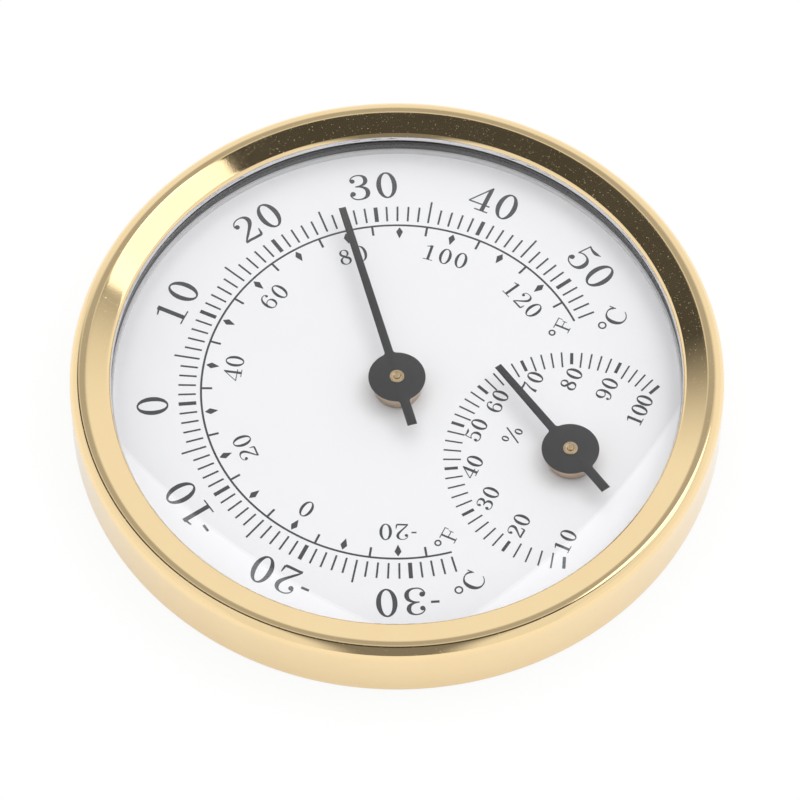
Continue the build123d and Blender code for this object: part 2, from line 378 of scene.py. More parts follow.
def clear_lens():
    """Moulded clear acrylic. Shadow and bounced rays go straight through. A ray mirrored inside the
    wall, where the number of crossings is odd, is still bent on its way out."""
    m = Nodes("clear_lens")
    glass = m.surface((1.0, 1.0, 1.0), 0.0, m.bump(m.noise(90, 1), 0.02, 0.00002), ior=1.49)
    glass.inputs["Transmission Weight"].default_value = 1.0
    path = m.add("ShaderNodeLightPath")
    through = m.add("ShaderNodeBsdfTransparent")
    through.inputs["Color"].default_value = (0.96, 0.96, 0.965, 1)
    mixed = m.add("ShaderNodeMixShader")
    reflected = m.math("MULTIPLY", path.outputs["Is Glossy Ray"],
                       m.math("SUBTRACT", 1.0, path.outputs["Is Transmission Ray"]))
    inside = m.math("MODULO", path.outputs["Transmission Depth"], 2.0)
    reflected = m.math("MULTIPLY", reflected, m.math("SUBTRACT", 1.0, inside))
    bounced = m.math("MAXIMUM", path.outputs["Is Diffuse Ray"], reflected)
    m.link(m.math("MAXIMUM", path.outputs["Is Shadow Ray"], bounced), mixed.inputs[0])
    m.link(glass.outputs["BSDF"], mixed.inputs[1])
    m.link(through.outputs["BSDF"], mixed.inputs[2])
    m.link(mixed.outputs["Shader"], m.output.inputs["Surface"])
    return m.material


def dial_enamel():
    """White baked paint with a faint orange-peel surface."""
    m = Nodes("dial_enamel")
    cloud = m.noise(180, 2)
    colour = m.mix(cloud, (0.800, 0.802, 0.812), (0.822, 0.824, 0.833))
    rough = m.ease(m.noise(900, 2), 0.3, 0.7, 0.42, 0.52)
    m.surface(colour, rough, m.bump(m.noise(2600, 2), 0.12, 0.00001), metallic=0.0)
    return m.material


def printing_ink():
    """Charcoal screen ink, very slightly uneven."""
    m = Nodes("printing_ink")
    spots = m.noise(6000, 2)
    colour = m.mix(spots, (0.026, 0.028, 0.034), (0.038, 0.041, 0.048))
    m.surface(colour, m.ease(spots, 0.3, 0.7, 0.40, 0.55), m.bump(spots, 0.15, 0.000004))
    return m.material


def pointer_paint():
    """Matt charcoal lacquer over stamped sheet."""
    m = Nodes("pointer_paint")
    grain = m.noise(4200, 3)
    colour = m.mix(grain, (0.012, 0.012, 0.014), (0.019, 0.019, 0.021))
    m.surface(colour, m.ease(grain, 0.3, 0.7, 0.42, 0.55), m.bump(grain, 0.2, 0.000006))
    return m.material


def spacer_plastic():
    """Dark moulded plastic with a polished skin. The foot that sits on the dial is painted pale: a painted
    highlight for the light the foot catches.
    """
    m = Nodes("spacer_plastic")
    grain = m.noise(3000, 3)
    wall = m.mix(grain, (0.030, 0.031, 0.033), (0.044, 0.045, 0.047))
    # painted highlight: everything below the foot's top is painted pale for the light the foot catches
    foot_top = DIAL_TOP + FOOT_HEIGHT
    foot = m.ease(m.split()[2], foot_top * MM, (foot_top + 0.02) * MM, 1.0, 0.0)
    colour = m.mix(foot, wall, (0.60, 0.60, 0.61))
    m.surface(colour, m.ease(grain, 0.3, 0.7, 0.07, 0.11), m.bump(grain, 0.08, 0.00001))
    return m.material


def cover_plastic():
    """Black moulded cover with a fine spark-eroded texture."""
    m = Nodes("cover_plastic")
    texture = m.noise(2400, 4, 0.7)
    flow = m.noise(60, 2)
    colour = m.mix(flow, (0.022, 0.022, 0.024), (0.034, 0.034, 0.036))
    m.surface(colour, m.ease(texture, 0.3, 0.7, 0.42, 0.62), m.bump(texture, 0.5, 0.00003))
    return m.material


def gasket_rubber():
    """Matt black rubber with a fine grain."""
    m = Nodes("gasket_rubber")
    grain = m.noise(3000, 3)
    colour = m.mix(grain, (0.018, 0.018, 0.018), (0.028, 0.028, 0.028))
    m.surface(colour, m.ease(grain, 0.3, 0.7, 0.7, 0.85), m.bump(grain, 0.2, 0.00001))
    return m.material


def turned_brass(name, centre):
    """Pale turned brass: rings left by the tool round its own axis, a little tarnish."""
    m = Nodes(name)
    rings = m.add("ShaderNodeTexWave", wave_type="RINGS", rings_direction="Z", wave_profile="SIN")
    rings.inputs["Scale"].default_value = 5200
    rings.inputs["Distortion"].default_value = 0.6
    m.link(m.place(location=(-centre[0] * MM, -centre[1] * MM, 0)), rings.inputs["Vector"])
    tarnish = m.noise(1500, 3)
    colour = m.mix(tarnish, (0.72, 0.53, 0.30), (0.82, 0.63, 0.39))
    rough = m.ease(tarnish, 0.3, 0.7, 0.24, 0.36)
    m.surface(colour, rough, m.bump(rings.outputs["Fac"], 0.25, 0.000004), metallic=1.0)
    return m.material


def strip_metal(name, first, second, rough):
    """Rolled strip: faint lines along its width and slow colour change."""
    m = Nodes(name)
    lines = m.noise(3000, 2, stretch=(1, 1, 8))
    cloud = m.noise(700, 2)
    colour = m.mix(cloud, first, second)
    m.surface(colour, m.ease(lines, 0.3, 0.7, rough - 0.05, rough + 0.07),
              m.bump(lines, 0.2, 0.000004), metallic=1.0)
    return m.material


GOLD = gold_anodised()
LENS = clear_lens()
DIAL = dial_enamel()
INK = printing_ink()
LACQUER = pointer_paint()
SPACER = spacer_plastic()
COVER = cover_plastic()
RUBBER = gasket_rubber()
SPRING = strip_metal("spring_steel", (0.55, 0.56, 0.58), (0.66, 0.67, 0.69), 0.28)
STRIPS = {
    "temp": strip_metal("temp_strip", (0.62, 0.48, 0.36), (0.72, 0.57, 0.43), 0.36),
    "humidity": strip_metal("humidity_strip", (0.68, 0.50, 0.38), (0.78, 0.60, 0.46), 0.38),
}
SITES = {"temp": (0.0, 0.0), "humidity": (0.0, float(HUMIDITY_Y))}
BRASS = {name: turned_brass(f"{name}_brass", site) for name, site in SITES.items()}


def repaint(node, material):
    """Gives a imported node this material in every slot."""
    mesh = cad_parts[node].data
    mesh.materials.clear()
    mesh.materials.append(material)


# --- case, lens and the parts under it ----------------------------------------------------
def bezel_outline():
    """Rolled lower edge, straight wall, round crest, sloping face, rounded lip, and the same
    run back along the inside of the sheet."""
    normal = 90 + math.degrees(BEVEL)
    crest = (CASE_RADIUS - CREST_ROUND, CREST_TOP - CREST_ROUND)
    curl = (CASE_RADIUS - CURL_ROUND, CURL_ROUND)
    crest_out = arc(crest, CREST_ROUND, 0, normal, 30)
    lip_r = WINDOW_RADIUS + LIP_ROUND * (1 - math.sin(BEVEL))
    lip_z = crest_out[-1, 1] - (crest_out[-1, 0] - lip_r) * math.tan(BEVEL)
    lip = (WINDOW_RADIUS + LIP_ROUND, lip_z - LIP_ROUND * math.cos(BEVEL))
    lip_out = arc(lip, LIP_ROUND, normal, 180, 18)
    crest_in = arc(crest, CREST_ROUND - SHEET, normal, 0, 12)
    back_r = WINDOW_RADIUS + SHEET
    back_z = crest_in[0, 1] - (crest_in[0, 0] - back_r) * math.tan(BEVEL)
    low = lip[1] - LIP_DROP
    curl_inner = CASE_RADIUS - CURL_ROUND - CURL_REACH
    return outline(
        arc(curl, CURL_ROUND, -90, 0, 12),
        line((CASE_RADIUS, CURL_ROUND), (CASE_RADIUS, crest[1]), 12),
        crest_out,
        line(crest_out[-1], lip_out[0], 10),
        lip_out,
        (WINDOW_RADIUS, low), (back_r, low), (back_r, back_z),
        line((back_r, back_z), crest_in[0], 4),
        crest_in,
        line((CASE_RADIUS - SHEET, crest[1]), (CASE_RADIUS - SHEET, CURL_ROUND), 4),
        arc(curl, CURL_ROUND - SHEET, 0, -90, 5),
        (curl_inner, SHEET), (curl_inner, CURL_CHAMFER), (curl_inner + CURL_CHAMFER, 0.0),
    )


def dome(low, count):
    """Height over radius of the dome: low + rise (1 - (r / R) cubed), from the rim to the axis."""
    reach = WINDOW_RADIUS - DOME_SETBACK
    r = reach * np.sin(np.linspace(math.pi / 2, 0, count))
    return np.stack([r, low + LENS_RISE * (1 - (r / reach) ** 3)], -1)


def lens_outline():
    """Flat flange under the lip and a dome on both faces."""
    over = dome(LENS_UNDER + LENS_THICK, 44)
    under = dome(LENS_UNDER, 44)[::-1]
    return outline(
        (LENS_RADIUS, LENS_UNDER), (LENS_RADIUS, LENS_UNDER + LENS_THICK),
        over, under,
    )


def spacer_outline():
    """Ring with a small inward foot on the dial, edges rounded as moulded."""
    inner = WINDOW_RADIUS + SPACER_SETBACK
    foot = inner - FOOT_REACH
    top = DIAL_TOP + FOOT_HEIGHT
    r = MOULDED_EDGE
    return outline(
        (foot, DIAL_TOP), (STACK_RADIUS, DIAL_TOP),
        (STACK_RADIUS, GASKET_UNDER), (inner, GASKET_UNDER),
        line((inner, GASKET_UNDER), (inner, top + r), 4),
        arc((inner - r, top + r), r, 0, -90, 4),
        arc((foot + r, top - r), r, 90, 180, 5),
        line((foot, top - r), (foot, DIAL_TOP), 3),
    )


bezel = lathe("gold_bezel", bezel_outline(), GOLD, steps=512, crease=32)
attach(bezel, "case")
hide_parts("bezel")

lens = lathe("domed_lens", lens_outline(), LENS, steps=384, crease=30)
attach(lens, "case")
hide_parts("lens")

spacer = lathe("spacer", spacer_outline(), SPACER, steps=384, crease=40)
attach(spacer, "case")
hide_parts("spacer_ring")

repaint("lens_gasket", RUBBER)
repaint("dial_plate", DIAL)
repaint("rear_cover", COVER)


# --- printed scales -----------------------------------------------------------------------
def curve(*knots, per=9):
    """Joined cubic curves. Knots alternate (x, y, width) with two controls (x, y): every point is the
    Bernstein mix of its segment's four controls, and the width eases from one knot to the next."""
    spans = [knots[i:i + 4] for i in range(0, len(knots) - 1, 3)]
    t = np.linspace(0, 1, per)[:, None]
    weights = np.hstack([(1 - t) ** 3, 3 * t * (1 - t) ** 2, 3 * t * t * (1 - t), t ** 3])
    ease = t[:, 0] ** 2 * (3 - 2 * t[:, 0])
    points = [weights @ np.array([k[:2] for k in span]) for span in spans]
    widths = [span[0][2] * (1 - ease) + span[3][2] * ease for span in spans]
    points = np.vstack([points[0]] + [p[1:] for p in points[1:]])
    widths = np.hstack([widths[0]] + [w[1:] for w in widths[1:]])
    return points, widths, False


def stroke(start, end):
    """Straight stroke between two (x, y, width) ends."""
    ends = np.array([start, end], float)
    return ends[:, :2], ends[:, 2], False


def ring(x, y, rx, ry, thick=THICK, thin=THIN, count=40):
    """Closed oval stroke, thickest where it runs upright."""
    a = np.arange(count) * TAU / count
    points = np.stack([x + (rx - thick / 2) * np.cos(a), y + (ry - thin / 2) * np.sin(a)], -1)
    return points, thin + (thick - thin) * np.abs(np.cos(a)) ** 1.6, True


def ball(x, y, r):
    """Round dot as a stroke whose width follows a circle."""
    a = np.linspace(0.02, math.pi - 0.02, 15)
    points = np.stack([x - r * np.cos(a), np.full(15, y)], -1)
    return points, 2 * r * np.sin(a), False


def turned_over(strokes, x, y):
    """The same strokes turned half round about a point."""
    return [(np.array([2 * x, 2 * y]) - p, w, closed) for p, w, closed in strokes]


SIX = [
    curve((.60, .83, .04), (.57, .93), (.49, .978), (.405, .978, .05), (.20, .978), (.085, .76),
          (.088, .47, .15), (.085, .20), (.19, .022), (.365, .022, .045)),
    curve((.365, .022, .045), (.52, .022), (.615, .14), (.615, .305, .14), (.615, .47), (.52, .585),
          (.385, .585, .045), (.25, .585), (.16, .49), (.14, .36, .04)),
    ball(.545, .835, .078),
]
GLYPHS = {
    "0": [ring(.34, .5, .34, .515)],
    "1": [stroke((.35, .985, .15), (.35, .03, .15)), stroke((.09, .868, .045), (.40, .945, .085)),
          stroke((.08, .0225, .045), (.62, .0225, .045))],
    "2": [curve((.055, .74, .04), (.055, .90), (.19, .978), (.345, .978, .045), (.51, .978), (.60, .88),
                (.60, .745, .15), (.60, .60), (.43, .46), (.27, .29, .085), (.18, .20), (.10, .13),
                (.06, .055, .05)),
          curve((.045, .05, .09), (.2, .085), (.4, .03), (.655, .05, .10)),
          stroke((.655, .05, .09), (.690, .30, .035)), ball(.135, .725, .085)],
    "3": [curve((.055, .77, .04), (.07, .90), (.18, .978), (.33, .978, .045), (.48, .978), (.57, .89),
                (.57, .765, .145), (.57, .64), (.46, .545), (.215, .53, .045)),
          curve((.215, .53, .045), (.49, .545), (.615, .43), (.615, .28, .15), (.615, .12), (.50, .022),
                (.30, .022, .045), (.17, .022), (.06, .09), (.03, .24, .045)),
          ball(.132, .758, .082), ball(.118, .25, .09)],
    "4": [stroke((.585, 1.0, .045), (.02, .275, .045)), stroke((.0, .262, .05), (.74, .262, .05)),
          curve((.545, .03, .145), (.545, .3), (.545, .6), (.548, .78, .14), (.555, .86), (.575, .95),
                (.592, 1.0, .055)),
          stroke((.29, .0225, .045), (.76, .0225, .045))],
    "5": [curve((.165, .962, .055), (.30, .915), (.42, .905), (.50, .925, .115), (.56, .94), (.62, .965),
                (.675, .995, .03)),
          stroke((.175, .985, .045), (.12, .50, .045)),
          curve((.12, .50, .04), (.18, .585), (.27, .615), (.35, .615, .05), (.52, .615), (.63, .50),
                (.63, .32, .15), (.63, .13), (.50, .022), (.31, .022, .045), (.18, .022), (.07, .085),
                (.035, .215, .045)),
          ball(.122, .235, .087)],
    "6": SIX,
    "7": [stroke((.05, .68, .035), (.06, .99, .06)),
          curve((.055, .915, .12), (.2, .965), (.35, .85), (.655, .935, .10)),
          curve((.665, .985, .045), (.62, .80), (.47, .62), (.40, .42, .09), (.36, .30), (.335, .15),
                (.335, .01, .165))],
    "8": [ring(.345, .757, .262, .238, .115, .04), ring(.345, .27, .315, .268, .13, .04),
          curve((.145, .80, .07), (.16, .62), (.35, .58), (.36, .50, .13), (.45, .44), (.56, .40),
                (.58, .24, .08))],
    "9": turned_over(SIX, .35, .5),
    "C": [curve((.80, .79, .10), (.74, .90), (.63, .975), (.50, .975, .055), (.22, .975), (.095, .76),
                (.095, .50, .185), (.095, .22), (.24, .025), (.50, .025, .055), (.63, .025), (.76, .10),
                (.845, .215, .035)),
          stroke((.835, 1.0, .05), (.835, .67, .045)), stroke((.70, .93, .03), (.835, .76, .10))],
    "F": [stroke((.245, .03, .12), (.245, .965, .12)), stroke((.0, .968, .06), (.80, .968, .06)),
          stroke((.775, .99, .05), (.765, .72, .04)), stroke((.25, .525, .055), (.68, .525, .055)),
          stroke((.68, .68, .045), (.68, .37, .045)), stroke((.0, .022, .05), (.40, .022, .05))],
    "%": [stroke((.24, .0, .07), (.89, 1.0, .07)), ring(.195, .775, .165, .205, .085, .05, 28),
          ring(.92, .30, .175, .225, .09, .05, 28)],
}
MINUS = [stroke((.0, .55, .085), (MINUS_WIDTH, .55, .085))]


def lettering(text, height, pitch):
    """Strokes of a run of digits, centred on (0, 0), in millimetres: digit k is moved by k pitches."""
    strokes = []
    digits = text.lstrip("-")
    half = (len(digits) - 1) / 2
    left = -half * pitch - HALF_DIGIT * height
    right = half * pitch + HALF_DIGIT * height
    if text.startswith("-"):
        shift = left - (MINUS_GAP + MINUS_WIDTH) * height
        strokes += [(p * height + np.array([shift, -height / 2]), w * height, c) for p, w, c in MINUS]
        left = shift
    for place, digit in enumerate(digits):
        middle = (place - half) * pitch
        corner = np.array([middle - HALF_DIGIT * height, -height / 2])
        strokes += [(p * height + corner, w * height, c) for p, w, c in GLYPHS[digit]]
    middle = (left + right) / 2
    return [(p - np.array([middle, 0.0]), w, c) for p, w, c in strokes]


def placed(strokes, x, y, turn=0.0):
    """Strokes turned clockwise by an angle and moved."""
    c, s = math.cos(-turn), math.sin(-turn)
    spin = np.array([[c, s], [-s, c]])
    return [(p @ spin + np.array([x, y]), w, closed) for p, w, closed in strokes]


def radial(strokes, radius, clockwise, shift=0.0):
    """Strokes on a dial radius, their feet towards the centre, moved along the circle by shift."""
    x = radius * math.sin(clockwise) + shift * math.cos(clockwise)
    y = radius * math.cos(clockwise) - shift * math.sin(clockwise)
    return placed(strokes, x, y, clockwise)


def print_strokes(name, strokes, centre):
    """One mesh of ink strokes: each is a closed strip of four corners per path point, half its width to
    either side of the path, standing on the dial; a hair of height keeps crossing strokes apart."""
    points, faces, first = [], [], 0
    for number, (path, width, closed) in enumerate(strokes):
        if closed:
            along = np.roll(path, -1, axis=0) - np.roll(path, 1, axis=0)
        else:
            along = np.gradient(path, axis=0)
        along /= np.linalg.norm(along, axis=1)[:, None]
        side = np.stack([-along[:, 1], along[:, 0]], -1) * width[:, None] / 2
        left, right = path + side, path - side
        high = DIAL_TOP + INK_HEIGHT + INK_STEP * (number % INK_LEVELS)
        low = DIAL_TOP - INK_SUNK
        count = len(path)
        corners = ((left, low), (right, low), (right, high), (left, high))
        loop = np.stack([np.column_stack([p, np.full(count, z)]) for p, z in corners], axis=1).reshape(-1, 3)
        loop[:, :2] += np.asarray(centre)
        points.append(loop)
        faces.append(grid_faces(count, 4, wrap_rows=closed, wrap_columns=True, first=first)[:, ::-1])
        if not closed:
            end = first + 4 * (count - 1)
            faces.append(np.array([[first, first + 1, first + 2, first + 3],
                                   [end + 3, end + 2, end + 1, end]]))
        first += len(loop)
    piece = put_mesh(name, np.vstack(points), faces, INK, smooth=False)
    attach(piece, "case")
    return piece


def tick(clockwise, inner, outer, width):
    """Radial bar as a stroke of two points."""
    direction = np.array([math.sin(clockwise), math.cos(clockwise)])
    return np.stack([direction * inner, direction * outer]), np.full(2, width), False


def diamond(clockwise, inner, outer, width):
    """Kite whose widest point is nearer its outer tip."""
    direction = np.array([math.sin(clockwise), math.cos(clockwise)])
    reach = np.array([inner, inner + 0.6 * (outer - inner), outer])
    return reach[:, None] * direction, np.array([0.02, width, 0.02]), False


def celsius_angle(value):
    return (value - TWELVE_CELSIUS) * DEGREE + SCALE_TURN


def fahrenheit_angle(value):
    return celsius_angle((value - 32) / 1.8)


def celsius_scale():
    """The arc with Celsius outside it, Fahrenheit inside it, and the unit signs at both ends."""
    first, last = (celsius_angle(value) for value in CELSIUS_ENDS)
    sweep = np.linspace(first - ARC_OVERRUN, last + ARC_OVERRUN, ARC_POINTS)
    circle = ARC_RADIUS * np.stack([np.sin(sweep), np.cos(sweep)], -1)
    strokes = [(circle, np.full(ARC_POINTS, ARC_WIDTH), False)]
    for value in range(CELSIUS_ENDS[0], CELSIUS_ENDS[1] + 1):
        inner, outer = CELSIUS_TICK
        width = CELSIUS_WIDTH
        if value % 10 == 0:
            width = CELSIUS_TEN_WIDTH
        elif value % 5 == 0:
            outer = CELSIUS_FIVE
        strokes.append(tick(celsius_angle(value), inner, outer, width))
    radius, height, pitch = CELSIUS_NUMBER
    for value in range(-30, 51, 10):
        shift = CELSIUS_SHIFTS.get(value, 0.0)
        strokes += radial(lettering(str(value), height, pitch), radius, celsius_angle(value), shift)
    for value in range(-20, 121, 10):
        strokes.append(diamond(fahrenheit_angle(value), *FAHRENHEIT_DIAMOND))
    for value in range(-25, 126, 10):
        strokes.append(tick(fahrenheit_angle(value), *FAHRENHEIT_TICK))
    radius, height, pitch = FAHRENHEIT_NUMBER
    for value in range(-20, 121, 20):
        strokes += radial(lettering(str(value), height, pitch), radius, fahrenheit_angle(value))
    for x, y, letter, height, dot_x, dot_y, dot in UNIT_SIGNS:
        strokes += placed([(p * height, w * height, c) for p, w, c in GLYPHS[letter]], x, y)
        half, wide = dot / 2, UNIT_RING_WIDTH
        strokes.append(ring(x + dot_x, y + dot_y, half, half, wide, wide, UNIT_RING_POINTS))
    return strokes


def humidity_scale():
    """Ticks every two percent between unevenly spaced tens, numbers inside them and a percent sign."""
    strokes = []
    known = sorted(HUMIDITY_ANGLES)
    angles = [HUMIDITY_ANGLES[value] for value in known]
    for value in range(10, 101, 2):
        angle = math.radians(float(np.interp(value, known, angles)))
        strokes.append(tick(angle, *(HUMIDITY_TEN if value % 10 == 0 else HUMIDITY_TICK)))
    for value, turn in HUMIDITY_ANGLES.items():
        angle = math.radians(turn)
        along, out = NUMBER_NUDGES.get(value, (0.0, 0.0))
        reach = NUMBER_SIDE + (NUMBER_TOP - NUMBER_SIDE) * abs(math.cos(angle)) + out
        x = reach * math.sin(angle) + along * math.cos(angle)
        y = reach * math.cos(angle) - along * math.sin(angle)
        number = lettering(str(value), HUMIDITY_HEIGHT, HUNDRED_PITCH if value == 100 else HUMIDITY_PITCH)
        strokes += placed([(p, w * SMALL_PRINT_GAIN, c) for p, w, c in number], x, y)
    sign = [(p * PERCENT_HEIGHT - np.array(PERCENT_HALF), w * PERCENT_HEIGHT * SMALL_PRINT_GAIN, c)
            for p, w, c in GLYPHS["%"]]
    return strokes + placed(sign, *PERCENT_PLACE)


print_strokes("celsius_and_fahrenheit_print", celsius_scale(), SITES["temp"])
print_strokes("humidity_print", humidity_scale(), SITES["humidity"])


# --- movements ----------------------------------------------------------------------------
def pointer_outline(length):
    """Flat outline along +X from the tip's right corner round: square tip, tapering arm, fillets, disc,
    square tail. Each fillet's centre is its radius off both the side and the disc."""
    fillet, arm_root, arm_tip, tail, reach = 0.32, 0.85, 0.68, 0.92, 5.4

    def side_to_disc(half, sign):
        far = math.sqrt((DISC_RADIUS + fillet) ** 2 - (half + fillet) ** 2)
        centre = np.array([sign * far, half + fillet])
        to_disc = math.degrees(math.atan2(-centre[1], -centre[0]))
        return centre, to_disc

    arm_half = arm_root / 2 - (arm_root - arm_tip) / 2 * DISC_RADIUS / length
    centre, to_disc = side_to_disc(arm_half, 1)
    arm_fillet = arc(centre, fillet, -90, to_disc if to_disc < -90 else to_disc - 360, 7)
    tail_centre, tail_to_disc = side_to_disc(tail / 2, -1)
    tail_fillet = arc(tail_centre, fillet, tail_to_disc, -90, 7)
    start = math.degrees(math.atan2(arm_fillet[-1, 1], arm_fillet[-1, 0]))
    stop = math.degrees(math.atan2(tail_fillet[0, 1], tail_fillet[0, 0]))
    upper = np.vstack([
        line((length, 0.0), (length, arm_tip / 2), 3),
        line((length, arm_tip / 2), arm_fillet[0], 14)[1:],
        arm_fillet[1:],
        arc((0, 0), DISC_RADIUS, start, stop, 60)[1:],
        tail_fillet[1:],
        line(tail_fillet[-1], (-reach, tail / 2), 5)[1:],
        line((-reach, tail / 2), (-reach, 0.0), 3)[1:],
    ])
    lower = upper[1:-1][::-1] * np.array([1, -1])
    return np.vstack([upper, lower])


def pointer(name, site, low, high, hole):
    """Stamped sheet: the outline, pulled in by the edge's rounding at each height, and the hole joined
    into one closed band. The hole's points lie on the same rays as the outline's."""
    flat = pointer_outline(LENGTH[name])
    along = np.roll(flat, -1, axis=0) - np.roll(flat, 1, axis=0)
    along /= np.linalg.norm(along, axis=1)[:, None]
    outward = np.stack([along[:, 1], -along[:, 0]], -1)
    rays = flat / np.linalg.norm(flat, axis=1)[:, None]
    pulled, eased = HAND_EDGE, HAND_EDGE * 0.3
    stations = [(rays * hole, low), (flat - outward * pulled, low), (flat - outward * eased, low + eased),
                (flat, low + pulled), (flat, high - pulled), (flat - outward * eased, high - eased),
                (flat - outward * pulled, high), (rays * hole, high)]
    turn = math.radians(90 - REST[name])
    spin = np.array([[math.cos(turn), math.sin(turn)], [-math.sin(turn), math.cos(turn)]])
    rings = [np.column_stack([p @ spin + np.asarray(site), np.full(len(p), z)]) for p, z in stations]
    points = np.stack(rings, axis=1).reshape(-1, 3)
    faces = grid_faces(len(flat), len(stations), wrap_rows=True, wrap_columns=True)
    piece = put_mesh(f"{name}_hand", points, [faces[:, ::-1]], LACQUER)
    return keep_crease(piece, 30)


def coil(name, site, low, high):
    """Strip on edge: centre line of radius first + (last - first) s at angle end - 2 pi turns (1 - s),
    half a sheet to either side. It starts just outside the post's barrel."""
    last = COIL_RADIUS - COIL_SHEET / 2
    share = np.linspace(0, 1, COIL_TURNS * 60 + 1)
    angle = COIL_END - TAU * COIL_TURNS * (1 - share)
    radius = COIL_FIRST + (last - COIL_FIRST) * share
    path = radius[:, None] * np.stack([np.cos(angle), np.sin(angle)], -1)
    along = np.gradient(path, axis=0)
    along /= np.linalg.norm(along, axis=1)[:, None]
    side = np.stack([along[:, 1], -along[:, 0]], -1) * COIL_SHEET / 2
    heights = (low, low + COIL_EDGE, (low + high) / 2, high - COIL_EDGE, high)
    tuck = (0.7, 1.0, 1.0, 1.0, 0.7)
    outer = [np.column_stack([path + side * k + np.asarray(site), np.full(len(path), z)])
             for z, k in zip(heights, tuck)]
    inner = [np.column_stack([path - side * k + np.asarray(site), np.full(len(path), z)])
             for z, k in zip(heights[::-1], tuck[::-1])]
    rings = outer + inner
    count = len(rings)
    points = np.stack(rings, axis=1).reshape(-1, 3)
    caps = np.array([np.arange(count), (len(path) - 1) * count + np.arange(count)[::-1]])
    faces = [grid_faces(len(path), count, wrap_columns=True)[:, ::-1], caps]
    piece = put_mesh(f"{name}_spiral", points, faces, STRIPS[name])
    keep_crease(piece, 40)
    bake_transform(piece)
    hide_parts(f"{name}_coil")
    return piece


def collar_outline(low, face, high):
    """Neck through the disc and a brim with a soft upper edge, open for the spindle."""
    bore, neck, brim, edge = 0.33, 0.50, 0.68, 0.05
    return outline(
        (bore, low), (neck, low), (neck, face), (brim - 0.02, face), (brim, face + 0.02),
        arc((brim - edge, high - edge), edge, 0, 90, 5),
        (bore + 0.03, high), (bore, high - 0.02),
    )


for name, site in SITES.items():
    hand_low, hand_high = (box_mm(f"{name}_pointer")[k][2] for k in (0, 1))
    strip_low, strip_high = (box_mm(f"{name}_coil")[k][2] for k in (0, 1))
    hand = pointer(name, site, hand_low, hand_high, HOLE_RADIUS)
    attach(hand, f"{name}_hand")
    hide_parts(f"{name}_pointer")
    coil(name, site, strip_low, strip_high)
    collar_top = box_mm(f"{name}_collar")[1][2]
    rim = lathe(f"{name}_brim", collar_outline(hand_low, hand_high, collar_top), BRASS[name], 96, site)
    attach(rim, f"{name}_hand")
    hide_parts(f"{name}_collar")
    for node in ("bush", "post", "retainer"):
        repaint(f"{name}_{node}", BRASS[name])
    repaint(f"{name}_friction_washer", SPRING)
    repaint(f"{name}_coil_clip", BRASS[name])


# --- floor, light and camera --------------------------------------------------------------
RIGHT = Vector((math.cos(AZIMUTH), math.sin(AZIMUTH), 0.0))
AWAY = Vector((-math.sin(AZIMUTH), math.cos(AZIMUTH), 0.0))


def world_direction(x, y, z):
    """A direction given as right, away and up of the camera's heading."""
    return (RIGHT * x + AWAY * y + Vector((0, 0, z))).normalized()


def floor():
    """Matt white paper, a little brighter where the camera or a polished surface sees it."""
    corners = np.array([[-1, -1, 0], [1, -1, 0], [1, 1, 0], [-1, 1, 0]]) * FLOOR_REACH - [0, 0, FLOOR_DROP]
    m = Nodes("studio_floor")
    paper = m.noise(30, 2)
    paint = m.surface(m.mix(paper, (0.88, 0.88, 0.88), (0.90, 0.90, 0.90)), 0.9)
    glow = m.add("ShaderNodeEmission")
    path = m.add("ShaderNodeLightPath")
    mixed = m.add("ShaderNodeMixShader")
    seen = m.math("MULTIPLY", path.outputs["Is Camera Ray"], 0.9)
    mirrored = m.math("MULTIPLY", path.outputs["Is Glossy Ray"], 0.45)
    m.link(m.math("MAXIMUM", seen, mirrored), mixed.inputs[0])
    m.link(paint.outputs["BSDF"], mixed.inputs[1])
    m.link(glow.outputs["Emission"], mixed.inputs[2])
    m.link(mixed.outputs["Shader"], m.output.inputs["Surface"])
    piece = put_mesh("floor", corners, [np.array([[0, 1, 2, 3]])], m.material)


def softbox(name, direction, distance, width, height, radiance, along=None):
    """Area lamp at a distance along a direction, facing the dial. Its power follows from the radiance,
    and its width runs as nearly along the given direction as facing the dial allows."""
    target = Vector((0, 0, DIAL_TOP * MM))
    lamp = bpy.data.lights.new(name, "AREA")
    lamp.shape = "RECTANGLE"
    lamp.size, lamp.size_y = width, height
    lamp.energy = radiance * math.pi * width * height
    holder = bpy.data.objects.new(name, lamp)
    bpy.context.scene.collection.objects.link(holder)
    holder.location = target + direction * distance
    holder.rotation_mode = "QUATERNION"
    holder.rotation_quaternion = direction.to_track_quat("Z", "Y")
    if along is not None:
        across = (along - direction * along.dot(direction)).normalized()
        axes = Matrix((across, direction.cross(across), direction)).transposed()
        holder.rotation_quaternion = axes.to_quaternion()
    return holder


def shine_on(lamp, piece, state):
    """The lamp shines on this piece alone (INCLUDE), or on everything else (EXCLUDE)."""
    group = bpy.data.collections.new(f"{lamp.name}_pieces")
    group.objects.link(piece)
    lamp.light_linking.receiver_collection = group
    group.collection_objects[0].light_linking.link_state = state


def lens_pane(name, towards):
    """Tall pane seen only in the steep rim of the dome: a straight inner edge, square to a rim angle
    given anticlockwise from the camera's right, cuts a sliver out of the rim."""
    x, y = math.cos(math.radians(towards)), math.sin(math.radians(towards))
    centre = (PANE_REACH * x, PANE_REACH * y + math.cos(ELEVATION))
    direction = world_direction(*centre, math.sqrt(1 - centre[0] ** 2 - centre[1] ** 2))
    pane = softbox(name, direction, 2.0, 1.2, 0.16, 1.4, RIGHT * -y + AWAY * x)
    shine_on(pane, lens, "INCLUDE")


